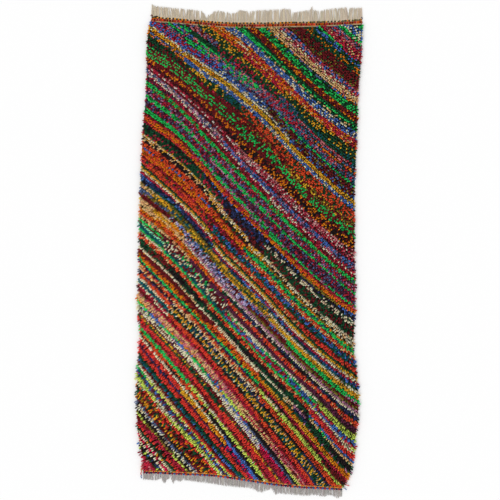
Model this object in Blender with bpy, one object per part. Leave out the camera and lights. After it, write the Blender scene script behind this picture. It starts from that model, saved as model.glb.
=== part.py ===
# A hand-knotted wool pile rug lying flat, with twined ends and cut warp fringes.
# Metres, +Z up. X runs across the rug and +Y towards its head end. The origin is
# the middle of the pile field's underside.
import math
import random
from collections import namedtuple

import bmesh
import bpy

MM = 0.001
GAP = 0.3 * MM  # between a piece and its neighbour

# Ground weave and pile
PILE_HEIGHT = 18 * MM  # ground weave and pile together
SHOULDER_HEIGHT = 11 * MM  # the pile's top at the rim, where it rounds over
SHOULDER_WIDTH = 11 * MM
UNDERCUT = 2 * MM  # how far the pile reaches out past the ground's long edges
WEB_THICKNESS = 3 * MM  # the bare ground weave past the pile at the head end
WEB_WIDTH = 5 * MM
CELLS_ACROSS = 34
CELLS_ALONG = 72
RIDGE_PITCH = 88 * MM  # along the rug, from one diagonal ridge of pile to the next
RIDGE_RISE = 1.5 * MM
LUMP_RISE = 1.3 * MM
LUMP_DRIFT = 3 * MM

# Locks of pile that stick out past the long edges
LOCK_REACH = (7 * MM, 13 * MM)
LOCK_LEAN = (3 * MM, 9 * MM)
LOCK_MARGIN = 2.2 * MM
LOCK_TIP_HEIGHT = 2.2 * MM
LOCK_SHARE = 0.8  # of the rim's cells
PILE_SEED = 11

# Twined courses, which lie across both ends
COURSE_HEIGHT = 6 * MM
HEAD_INNER_WIDTH = 12 * MM
HEAD_OUTER_WIDTH = 9 * MM
FOOT_INNER_WIDTH = 8 * MM
FOOT_OUTER_WIDTH = 9 * MM
HEAD_TURNS = 70
FOOT_INNER_TURNS = 24
FOOT_OUTER_TURNS = 46
TURN_SLANT = 0.25  # of a turn
DIP_WIDTH = 0.84  # between two turns, as a share of the width on a turn
DIP_HEIGHT = 0.68

# A course's section: shares of its half width and height, and which way it slants
SectionPoint = namedtuple("SectionPoint", "side rise slant")
COURSE_SECTION = (
    SectionPoint(-1.0, 0, 0),
    SectionPoint(-0.6, 1, -1),
    SectionPoint(0.6, 1, 1),
    SectionPoint(1.0, 0, 0),
)

# Warp fringes
ROOT_STRIP_WIDTH = 5 * MM
STRAND_THICKNESS = 3 * MM
STRAND_TIP_THICKNESS = 1.6 * MM
STRAND_HALF_WIDTH = 0.34  # midway, as a share of the space between strands
STRAND_TIP_HALF_WIDTH = 0.2
STRAND_MIDDLE = 0.45  # share of the strand's length
STRAND_SWAY = 0.6  # how much of a clump's lean is reached there
STRAND_LENGTHS = (0.95, 1.05)  # of the fringe's reach
HEAD_STRANDS = 100
FOOT_STRANDS = 80

# The rug's long edges: share of the length from the foot, then X in millimetres
Side = namedtuple("Side", "share left right")
SIDES = (
    Side(0.00, -485, 439),
    Side(0.02, -481, 460),
    Side(0.05, -496, 477),
    Side(0.09, -508, 495),
    Side(0.16, -511, 512),
    Side(0.22, -510, 510),
    Side(0.30, -495, 491),
    Side(0.38, -504, 497),
    Side(0.46, -499, 497),
    Side(0.55, -498, 495),
    Side(0.65, -493, 496),
    Side(0.75, -484, 505),
    Side(0.85, -469, 512),
    Side(0.94, -464, 528),
    Side(0.98, -459, 531),
    Side(1.00, -446, 532),
)

# The pile's two ends: share of the width from the left, then Y in millimetres
End = namedtuple("End", "share foot head")
ENDS = (
    End(0.00, -1006, 1073),
    End(0.10, -1008, 1065),
    End(0.20, -1013, 1057),
    End(0.35, -1020, 1046),
    End(0.50, -1039, 1044),
    End(0.65, -1060, 1047),
    End(0.80, -1074, 1050),
    End(0.90, -1078, 1054),
    End(1.00, -1084, 1061),
)

# Diagonal rows of pile, in millimetres. The level is where a row crosses the line
# X = 0, and the rise is how far it lies above that level at four other X.
Drift = namedtuple("Drift", "level far_left left right far_right")
DRIFTS = (
    Drift(1170, 366, 204, -241, -431),
    Drift(800, 361, 199, -255, -454),
    Drift(430, 454, 278, -250, -444),
    Drift(60, 468, 296, -255, -463),
    Drift(-310, 482, 292, -269, -491),
    Drift(-680, 523, 310, -324, -597),
    Drift(-1050, 569, 306, -324, -597),
    Drift(-1420, 468, 273, -324, -597),
)
DRIFT_X = {"far_left": -498, "left": -266, "right": 266, "far_right": 498}
LEVEL_STEPS = 5  # steps that settle on the level of a point's row

# Fringe outlines: X and the strands' reach past the last course, in millimetres
Reach = namedtuple("Reach", "x reach")
HEAD_REACH = (
    Reach(-445, 52),
    Reach(-425, 46),
    Reach(-306, 44),
    Reach(-225, 42),
    Reach(-200, 34),
    Reach(-183, 22),
    Reach(-160, 44),
    Reach(-140, 49),
    Reach(-80, 42),
    Reach(-60, 42),
    Reach(-35, 56),
    Reach(5, 49),
    Reach(55, 56),
    Reach(95, 54),
    Reach(150, 58),
    Reach(200, 58),
    Reach(212, 42),
    Reach(290, 50),
    Reach(299, 66),
    Reach(308, 50),
    Reach(326, 47),
    Reach(400, 54),
    Reach(463, 57),
    Reach(485, 52),
    Reach(535, 50),
)
FOOT_REACH = (
    Reach(-485, 26),
    Reach(-415, 30),
    Reach(-403, 21),
    Reach(-387, 46),
    Reach(-372, 24),
    Reach(-359, 20),
    Reach(-345, 41),
    Reach(-333, 24),
    Reach(-313, 32),
    Reach(-296, 22),
    Reach(-220, 30),
    Reach(-104, 36),
    Reach(12, 28),
    Reach(67, 43),
    Reach(83, 28),
    Reach(109, 20),
    Reach(127, 42),
    Reach(141, 34),
    Reach(287, 32),
    Reach(299, 27),
    Reach(359, 34),
    Reach(373, 25),
    Reach(396, 28),
    Reach(419, 38),
    Reach(445, 22),
)

# Where the head fringe parts: X and the parting's width at the tips, in millimetres
Parting = namedtuple("Parting", "x width")
HEAD_PARTINGS = (
    Parting(-315, 12),
    Parting(-286, 12),
    Parting(-221, 5),
    Parting(-190, 16),
    Parting(-100, 6),
    Parting(-77, 8),
    Parting(8, 8),
    Parting(148, 4),
    Parting(206, 12),
    Parting(333, 9),
    Parting(468, 14),
)
FOOT_PARTINGS = (
    Parting(-403, 6),
    Parting(-359, 8),
    Parting(-333, 5),
    Parting(-296, 5),
    Parting(-164, 3),
    Parting(83, 4),
    Parting(109, 6),
    Parting(299, 4),
    Parting(373, 5),
)

COLOURS = {
    "pile": (0.27, 0.12, 0.07),
    "red_orange": (0.42, 0.07, 0.03),
    "gold_black": (0.45, 0.30, 0.10),
    "gold": (0.60, 0.42, 0.15),
    "red_blue": (0.30, 0.10, 0.16),
    "beige": (0.56, 0.48, 0.38),
    "grey": (0.47, 0.43, 0.41),
}
WOOL_ROUGHNESS = 0.9


def clear_scene():
    for thing in list(bpy.data.objects):
        bpy.data.objects.remove(thing)


def lerp(a, b, share):
    return a + (b - a) * share


def smooth_curve(keys, values, where):
    """A value between stated ones, on a smooth curve through them."""
    where = min(max(where, keys[0]), keys[-1])
    last = len(keys) - 2
    i = next((k for k in range(last) if where <= keys[k + 1]), last)

    def slope(k):
        low, high = max(k - 1, 0), min(k + 1, last + 1)
        return (values[high] - values[low]) / (keys[high] - keys[low])

    span = keys[i + 1] - keys[i]
    t = (where - keys[i]) / span
    return (
        values[i] * (1 + 2 * t) * (1 - t) ** 2
        + slope(i) * span * t * (1 - t) ** 2
        + values[i + 1] * t * t * (3 - 2 * t)
        + slope(i + 1) * span * t * t * (t - 1)
    )


def smooth_column(rows, key, column, where):
    """Reads a column of a table at a place between its rows."""
    rows = sorted(rows, key=lambda row: getattr(row, key))
    keys = [getattr(row, key) for row in rows]
    values = [getattr(row, column) for row in rows]
    return smooth_curve(keys, values, where)


def straight_between(rows, where):
    """Reads a fringe's reach at X, on straight lines between the rows."""
    for a, b in zip(rows, rows[1:]):
        if where <= b.x:
            return lerp(a.reach, b.reach, max(0.0, (where - a.x) / (b.x - a.x)))
    return rows[-1].reach


def side_x(along, across):
    left = smooth_column(SIDES, "share", "left", along)
    right = smooth_column(SIDES, "share", "right", along)
    return lerp(left, right, across) * MM


def end_y(across, column):
    return smooth_column(ENDS, "share", column, across) * MM


def field_point(across, along):
    """Where a share across and a share along the pile field lie in plan."""
    y = lerp(end_y(across, "foot"), end_y(across, "head"), along)
    return side_x(along, across), y


def end_point(across, column, outward):
    """A point a distance outward from one end of the pile field."""
    sign = 1 if column == "head" else -1
    x = side_x(1 if column == "head" else 0, across)
    return x, end_y(across, column) + sign * outward


def row_level(x, y):
    """Where the diagonal row through a point crosses the line X = 0."""
    stations = sorted([*DRIFT_X.values(), 0])
    level = y
    for _ in range(LEVEL_STEPS):
        rises = {0: 0}
        for column, station in DRIFT_X.items():
            rises[station] = smooth_column(DRIFTS, "level", column, level / MM)
        values = [rises[station] for station in stations]
        level = y - smooth_curve(stations, values, x / MM) * MM
    return level


def wool(name):
    material = bpy.data.materials.new(name)
    material.use_nodes = True
    shader = material.node_tree.nodes["Principled BSDF"]
    shader.inputs["Base Color"].default_value = (*COLOURS[name], 1)
    shader.inputs["Roughness"].default_value = WOOL_ROUGHNESS
    shader.inputs["Metallic"].default_value = 0
    return material


def finished(name, mesh_points, material):
    """Turns a bmesh into a named object with its faces pointing out."""
    bmesh.ops.recalc_face_normals(mesh_points, faces=mesh_points.faces)
    mesh = bpy.data.meshes.new(name)
    mesh_points.to_mesh(mesh)
    mesh_points.free()
    mesh.materials.append(material)
    thing = bpy.data.objects.new(name, mesh)
    bpy.context.collection.objects.link(thing)
    return thing


def cell_shares(cells, length):
    """Shares of a length for a row of even cells, with a narrow one at each end."""
    narrow = SHOULDER_WIDTH / length
    inner = [lerp(narrow, 1 - narrow, k / (cells - 2)) for k in range(cells - 1)]
    return [0.0, *inner, 1.0]


def pile_top(x, y, chance):
    """Height of the pile: diagonal ridges, with lumps over them."""
    ridge = RIDGE_RISE * math.sin(2 * math.pi * row_level(x, y) / RIDGE_PITCH)
    lump = LUMP_RISE * chance.uniform(-1, 1)
    return PILE_HEIGHT + ridge + lump


def pile_grid(mesh, chance):
    """The field's top points, as rows from the foot to the head."""
    width = side_x(0.5, 1) - side_x(0.5, 0)
    length = end_y(0.5, "head") - end_y(0.5, "foot")
    columns = cell_shares(CELLS_ACROSS, width)
    rows = cell_shares(CELLS_ALONG, length)
    grid = []
    for along in rows:
        line = []
        for across in columns:
            x, y = field_point(across, along)
            if along in (0, 1) or across in (0, 1):
                z = SHOULDER_HEIGHT
            else:
                z = pile_top(x, y, chance)
                x += LUMP_DRIFT * chance.uniform(-1, 1)
                y += LUMP_DRIFT * chance.uniform(-1, 1)
            line.append(mesh.verts.new((x, y, z)))
        grid.append(line)
    return grid


def field_rim(grid):
    """The top grid's outer points, once round from the foot's left corner."""
    foot, head = grid[0], grid[-1]
    right = [line[-1] for line in grid[1:-1]]
    left = [line[0] for line in grid[-2:0:-1]]
    return [*foot, *right, *reversed(head), *left]


def rim_profile(mesh, top, at):
    """The points from the pile's rim down to the floor, web included at the head."""
    x, y, _ = top.co
    if at == "head":
        shelf = mesh.verts.new((x, y, WEB_THICKNESS))
        lip = mesh.verts.new((x, y + WEB_WIDTH, WEB_THICKNESS))
        return [top, shelf, lip, mesh.verts.new((x, y + WEB_WIDTH, 0))]
    inward = 0 if at == "foot" else UNDERCUT
    return [top, mesh.verts.new((x - math.copysign(inward, x), y, 0))]


def pull_out_locks(mesh, walls, chance):
    """Draws a lock of pile out of most of the cells along the long edges."""
    chosen = [wall for wall in walls if chance.random() < LOCK_SHARE]
    bmesh.ops.inset_individual(mesh, faces=chosen, thickness=LOCK_MARGIN)
    poked = bmesh.ops.poke(mesh, faces=chosen)
    for tip in poked["verts"]:
        outward = math.copysign(chance.uniform(*LOCK_REACH), tip.co.x)
        lean = chance.uniform(*LOCK_LEAN)
        tip.co.x += outward
        tip.co.y -= lean
        tip.co.z = LOCK_TIP_HEIGHT


def make_pile_field(material):
    """Ground weave and pile as one lumpy slab, with locks at its rim."""
    chance = random.Random(PILE_SEED)
    mesh = bmesh.new()
    grid = pile_grid(mesh, chance)
    for lower, upper in zip(grid, grid[1:]):
        for a, b, c, d in zip(lower, lower[1:], upper[1:], upper):
            mesh.faces.new((a, b, c, d))

    head = set(grid[-1])
    foot = set(grid[0])
    rim = field_rim(grid)
    profiles = []
    for top in rim:
        at = "head" if top in head else "foot" if top in foot else "side"
        profiles.append(rim_profile(mesh, top, at))
    long_walls = []
    for near, far in zip(profiles, profiles[1:] + profiles[:1]):
        if len(near) == len(far):
            strips = list(zip(near, near[1:], far[1:], far))
        else:
            strips = [(*near, *reversed(far))]
        for corners in strips:
            wall = mesh.faces.new(corners)
            if len(near) == len(far) == 2 and not {near[0], far[0]} <= foot:
                long_walls.append(wall)
    mesh.faces.new([profile[-1] for profile in profiles])
    bmesh.ops.recalc_face_normals(mesh, faces=mesh.faces)
    pull_out_locks(mesh, long_walls, chance)
    return finished("pile_field", mesh, material)


def join_sections(mesh, near, far):
    """Walls between two sections of the same number of points."""
    count = len(near)
    for j in range(count):
        mesh.faces.new((near[j], near[(j + 1) % count], far[(j + 1) % count], far[j]))


def make_course(name, column, outward, width, turns, material):
    """A twined course across one end, with a slanting ridge for each turn."""
    mesh = bmesh.new()
    sign = 1 if column == "head" else -1
    sections = []
    for k in range(2 * turns + 1):
        crest = k % 2
        half = width / 2 * (1 if crest else DIP_WIDTH)
        height = COURSE_HEIGHT * (1 if crest else DIP_HEIGHT)
        slant = TURN_SLANT / turns if 0 < k < 2 * turns else 0
        section = []
        for point in COURSE_SECTION:
            across = k / (2 * turns) + point.slant * slant
            x, y = end_point(across, column, outward)
            spot = (x, y + sign * point.side * half, point.rise * height)
            section.append(mesh.verts.new(spot))
        sections.append(section)
    for a, b in zip(sections, sections[1:]):
        join_sections(mesh, a, b)
    mesh.faces.new(sections[0])
    mesh.faces.new(sections[-1])
    return finished(name, mesh, material)


def parted_x(x, low, high, partings):
    """Where a strand's tip goes when the fringe parts into clumps."""
    edges = [low, *(p.x * MM for p in partings), high]
    widths = [0.0, *(p.width * MM for p in partings), 0.0]
    for a, b, gap_a, gap_b in zip(edges, edges[1:], widths, widths[1:]):
        if x <= b:
            return lerp(a + gap_a / 2, b - gap_b / 2, (x - a) / (b - a))
    return x


def strand_section(mesh, x, y, half, thickness):
    return [
        mesh.verts.new((x - half, y, 0)),
        mesh.verts.new((x + half, y, 0)),
        mesh.verts.new((x + half, y, thickness)),
        mesh.verts.new((x - half, y, thickness)),
    ]


def make_fringe(name, column, outward, strands, reaches, partings, material):
    """Warp ends lying on the floor, with their roots in one narrow strip."""
    chance = random.Random(strands)
    mesh = bmesh.new()
    sign = 1 if column == "head" else -1
    columns = []
    for k in range(strands + 1):
        x, y = end_point(k / strands, column, outward)
        far = y + sign * ROOT_STRIP_WIDTH
        columns.append(
            {
                "x": x,
                "y": far,
                "inner_low": mesh.verts.new((x, y, 0)),
                "inner_high": mesh.verts.new((x, y, STRAND_THICKNESS)),
                "outer_low": mesh.verts.new((x, far, 0)),
                "outer_high": mesh.verts.new((x, far, STRAND_THICKNESS)),
            }
        )
    around = ("inner_low", "inner_high", "outer_high", "outer_low")
    for a, b in zip(columns, columns[1:]):
        for low, high in (around[0:2], around[1:3], (around[3], around[0])):
            mesh.faces.new((a[low], a[high], b[high], b[low]))
        root_x, root_y = (a["x"] + b["x"]) / 2, (a["y"] + b["y"]) / 2
        pitch = b["x"] - a["x"]
        reach = straight_between(reaches, root_x / MM) * MM
        length = reach * chance.uniform(*STRAND_LENGTHS) - ROOT_STRIP_WIDTH
        tip_x = parted_x(root_x, columns[0]["x"], columns[-1]["x"], partings)
        middle = strand_section(
            mesh,
            lerp(root_x, tip_x, STRAND_SWAY),
            root_y + sign * length * STRAND_MIDDLE,
            pitch * STRAND_HALF_WIDTH,
            STRAND_THICKNESS,
        )
        tip = strand_section(
            mesh,
            tip_x,
            root_y + sign * length,
            pitch * STRAND_TIP_HALF_WIDTH,
            STRAND_TIP_THICKNESS,
        )
        root = [a["outer_low"], b["outer_low"], b["outer_high"], a["outer_high"]]
        join_sections(mesh, root, middle)
        join_sections(mesh, middle, tip)
        mesh.faces.new(tip)
    for end in (columns[0], columns[-1]):
        mesh.faces.new([end[corner] for corner in around])
    return finished(name, mesh, material)


def make_head_end():
    edge = WEB_WIDTH + GAP
    make_course(
        "head_inner_course",
        "head",
        edge + HEAD_INNER_WIDTH / 2,
        HEAD_INNER_WIDTH,
        HEAD_TURNS,
        wool("red_orange"),
    )
    edge += HEAD_INNER_WIDTH + GAP
    make_course(
        "head_outer_course",
        "head",
        edge + HEAD_OUTER_WIDTH / 2,
        HEAD_OUTER_WIDTH,
        HEAD_TURNS,
        wool("gold_black"),
    )
    edge += HEAD_OUTER_WIDTH + GAP
    make_fringe(
        "head_fringe",
        "head",
        edge,
        HEAD_STRANDS,
        HEAD_REACH,
        HEAD_PARTINGS,
        wool("beige"),
    )


def make_foot_end():
    edge = GAP
    make_course(
        "foot_inner_course",
        "foot",
        edge + FOOT_INNER_WIDTH / 2,
        FOOT_INNER_WIDTH,
        FOOT_INNER_TURNS,
        wool("gold"),
    )
    edge += FOOT_INNER_WIDTH + GAP
    make_course(
        "foot_outer_course",
        "foot",
        edge + FOOT_OUTER_WIDTH / 2,
        FOOT_OUTER_WIDTH,
        FOOT_OUTER_TURNS,
        wool("red_blue"),
    )
    edge += FOOT_OUTER_WIDTH + GAP
    make_fringe(
        "foot_fringe",
        "foot",
        edge,
        FOOT_STRANDS,
        FOOT_REACH,
        FOOT_PARTINGS,
        wool("grey"),
    )


clear_scene()
make_pile_field(wool("pile"))
make_head_end()
make_foot_end()
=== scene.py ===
import math

import bpy
import numpy as np
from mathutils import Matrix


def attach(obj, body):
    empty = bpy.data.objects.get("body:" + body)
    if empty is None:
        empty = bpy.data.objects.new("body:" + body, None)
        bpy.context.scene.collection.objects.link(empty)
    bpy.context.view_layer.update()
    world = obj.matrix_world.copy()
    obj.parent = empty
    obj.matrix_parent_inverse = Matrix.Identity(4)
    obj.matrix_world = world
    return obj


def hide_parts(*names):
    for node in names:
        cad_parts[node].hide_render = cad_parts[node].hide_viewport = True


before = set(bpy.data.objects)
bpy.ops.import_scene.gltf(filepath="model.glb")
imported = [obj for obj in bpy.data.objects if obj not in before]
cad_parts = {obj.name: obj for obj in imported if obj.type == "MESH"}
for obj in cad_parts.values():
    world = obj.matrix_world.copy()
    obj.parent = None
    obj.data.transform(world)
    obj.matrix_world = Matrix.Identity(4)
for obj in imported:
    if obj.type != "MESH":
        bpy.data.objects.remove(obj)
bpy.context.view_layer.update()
mm = 0.001

# The rug's plan, as its solids have it
rugPlan = {
    # share of the length from the foot, then the left and right edge
    "sides": (
        (0.00, -485, 439),
        (0.02, -481, 465),
        (0.05, -496, 484),
        (0.09, -508, 495),
        (0.16, -511, 512),
        (0.22, -510, 510),
        (0.30, -495, 491),
        (0.38, -504, 497),
        (0.46, -499, 497),
        (0.55, -498, 495),
        (0.65, -493, 496),
        (0.75, -484, 505),
        (0.85, -469, 512),
        (0.94, -464, 528),
        (0.98, -459, 531),
        (1.00, -446, 532),
    ),
    # share of the width from the left, then the foot and head end
    "ends": (
        (0.00, -1006, 1073),
        (0.10, -1008, 1065),
        (0.20, -1013, 1057),
        (0.35, -1020, 1046),
        (0.50, -1039, 1044),
        (0.65, -1060, 1047),
        (0.80, -1074, 1050),
        (0.90, -1078, 1054),
        (1.00, -1084, 1061),
    ),
}

# The stripes are charted in steps of 4.63 mm: rows down from the head, at the
# middle of the rug, and columns from the left.
chartStep = 4.63
chartMiddleColumn = 247.5
chartMiddleRow = 253
stripeSteps = 10

# How far a stripe falls at nine columns of the chart, from its own row at the
# middle one. Left and right of the middle are read off at rows of their own.
stripeFall = {
    "columns": (150, 175, 200, 225, 247.5, 270, 295, 320, 345),
    "left": (
        (-90, -66, -50, -33, -16),
        (40, -72, -54, -36, -16),
        (53, -72, -54, -36, -16.5),
        (63, -72, -54, -36, -17),
        (77, -72, -53.5, -36.5, -18),
        (87, -72.5, -53, -36, -19),
        (101, -73, -55, -35.5, -18.5),
        (113, -73, -56, -37, -18),
        (122, -74, -59, -38, -18.5),
        (128, -76, -62, -40.5, -20),
        (140, -82, -66, -45, -21.5),
        (146, -86, -68, -47.5, -22.5),
        (156, -90, -71, -49.5, -24.5),
        (166, -93, -73, -49.5, -24.5),
        (180, -93.5, -74.5, -50.5, -24.5),
        (194, -93.5, -74.5, -50.5, -24.5),
        (215, -92.5, -75, -51.5, -23),
        (235, -94.5, -75.5, -53, -24.5),
        (248, -95, -76.5, -51.5, -24),
        (265, -97, -75.5, -51.5, -22),
        (278, -98, -77.5, -51.5, -21.5),
        (291, -98, -78, -51.5, -23),
        (310, -98.5, -79, -52.5, -22.5),
        (319, -98, -77.5, -51, -24),
        (342, -102.5, -80, -52, -23.5),
        (358, -101.5, -78.5, -51, -26),
        (370, -103, -77.5, -51.5, -25),
        (393, -106, -81, -56, -26.5),
        (405, -107.5, -81.5, -56, -26.5),
        (415, -109, -83.5, -57.5, -27),
        (423, -111.5, -86, -59, -28),
        (431, -113, -88.5, -61, -28.5),
        (446, -117, -89, -60, -28),
        (457, -118.5, -90, -59.5, -28),
        (467, -117.5, -87.5, -58.5, -28),
        (478, -114.5, -84.5, -55.5, -25),
        (484, -112.5, -82.5, -52.5, -22.5),
        (494, -110.5, -80.5, -53, -23),
        (502, -109, -77.5, -52, -22),
        (516, -105, -73.5, -47, -20),
        (530, -102, -73, -45, -20),
        (543, -97, -67, -42, -19),
        (555, -93, -64, -40, -18),
    ),
    "right": (
        (-90, 19, 40, 64, 86.5),
        (-26, 19, 40, 64, 86.5),
        (-11, 19, 39, 65, 86.5),
        (-2, 19, 42, 66, 86),
        (8, 19.5, 43.5, 66, 85.5),
        (17, 19.5, 45, 68, 86.5),
        (24, 20, 44, 66.5, 86),
        (33, 21.5, 44.5, 67, 86.5),
        (41, 21.5, 45, 69, 88),
        (53, 20, 43.5, 67.5, 86.5),
        (63, 19.5, 44, 69, 89),
        (77, 17.5, 45, 70, 91),
        (87, 16, 46, 70, 92.5),
        (101, 20.5, 48.5, 72.5, 95),
        (113, 21, 48.5, 71.5, 94),
        (128, 20, 48.5, 71, 92),
        (140, 19.5, 44.5, 68, 88.5),
        (150, 19.5, 44.5, 69, 89),
        (160, 20.5, 46, 69, 91),
        (170, 21.5, 46.5, 69.5, 92),
        (184, 21, 45, 68.5, 90.5),
        (197, 21, 46, 67.5, 90),
        (210, 22, 47.5, 70, 90),
        (218, 22, 47.5, 69.5, 89),
        (228, 21, 47, 70, 91.5),
        (242, 20, 47.5, 71, 95.5),
        (252, 21, 48, 71, 94),
        (265, 22.5, 48.5, 72.5, 93.5),
        (279, 23.5, 51, 74, 94),
        (293, 22.5, 49.5, 72.5, 93.5),
        (312, 23.5, 48, 72, 94),
        (322, 23, 48.5, 70, 95),
        (335, 23.5, 46.5, 74, 100.5),
        (343, 24, 48, 73.5, 101.5),
        (350, 23.5, 47, 74, 103),
        (359, 22, 49, 77, 106),
        (369, 22.5, 50.5, 80, 108.5),
        (379, 24, 52.5, 83, 112),
        (385, 26, 55, 86, 115),
        (393, 27.5, 57.5, 89, 118.5),
        (404, 28, 58.5, 90, 121),
        (419, 27.5, 59, 90, 121),
        (431, 29.5, 60, 91, 121),
        (447, 29, 60, 91, 121),
        (555, 30, 62, 92, 122),
    ),
}

# Dyed wools, as red, green and blue out of 255
dyes = {
    "brightGreen": (40, 162, 78),
    "bottleGreen": (18, 62, 38),
    "maroon": (92, 22, 26),
    "crimson": (148, 34, 52),
    "vermilion": (200, 68, 42),
    "rust": (178, 74, 30),
    "orange": (206, 106, 32),
    "ochre": (218, 138, 46),
    "tan": (200, 148, 102),
    "cream": (200, 178, 148),
    "palePink": (200, 168, 158),
    "dustyRose": (164, 96, 100),
    "mauve": (150, 100, 124),
    "royalBlue": (60, 92, 152),
    "slateBlue": (72, 86, 118),
    "navy": (36, 42, 76),
    "teal": (18, 76, 82),
    "plum": (78, 32, 54),
    "black": (28, 21, 24),
    "lime": (162, 186, 80),
    "lavender": (150, 140, 168),
    "brightRed": (206, 54, 46),
    "magentaCrimson": (178, 22, 66),
    "olive": (104, 92, 36),
    "mint": (112, 190, 140),
    "grey": (150, 145, 140),
    "beige": (218, 204, 182),
    "paleGrey": (188, 182, 178),
    "inkGreen": (38, 48, 42),
    "warp": (206, 192, 160),
}

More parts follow.
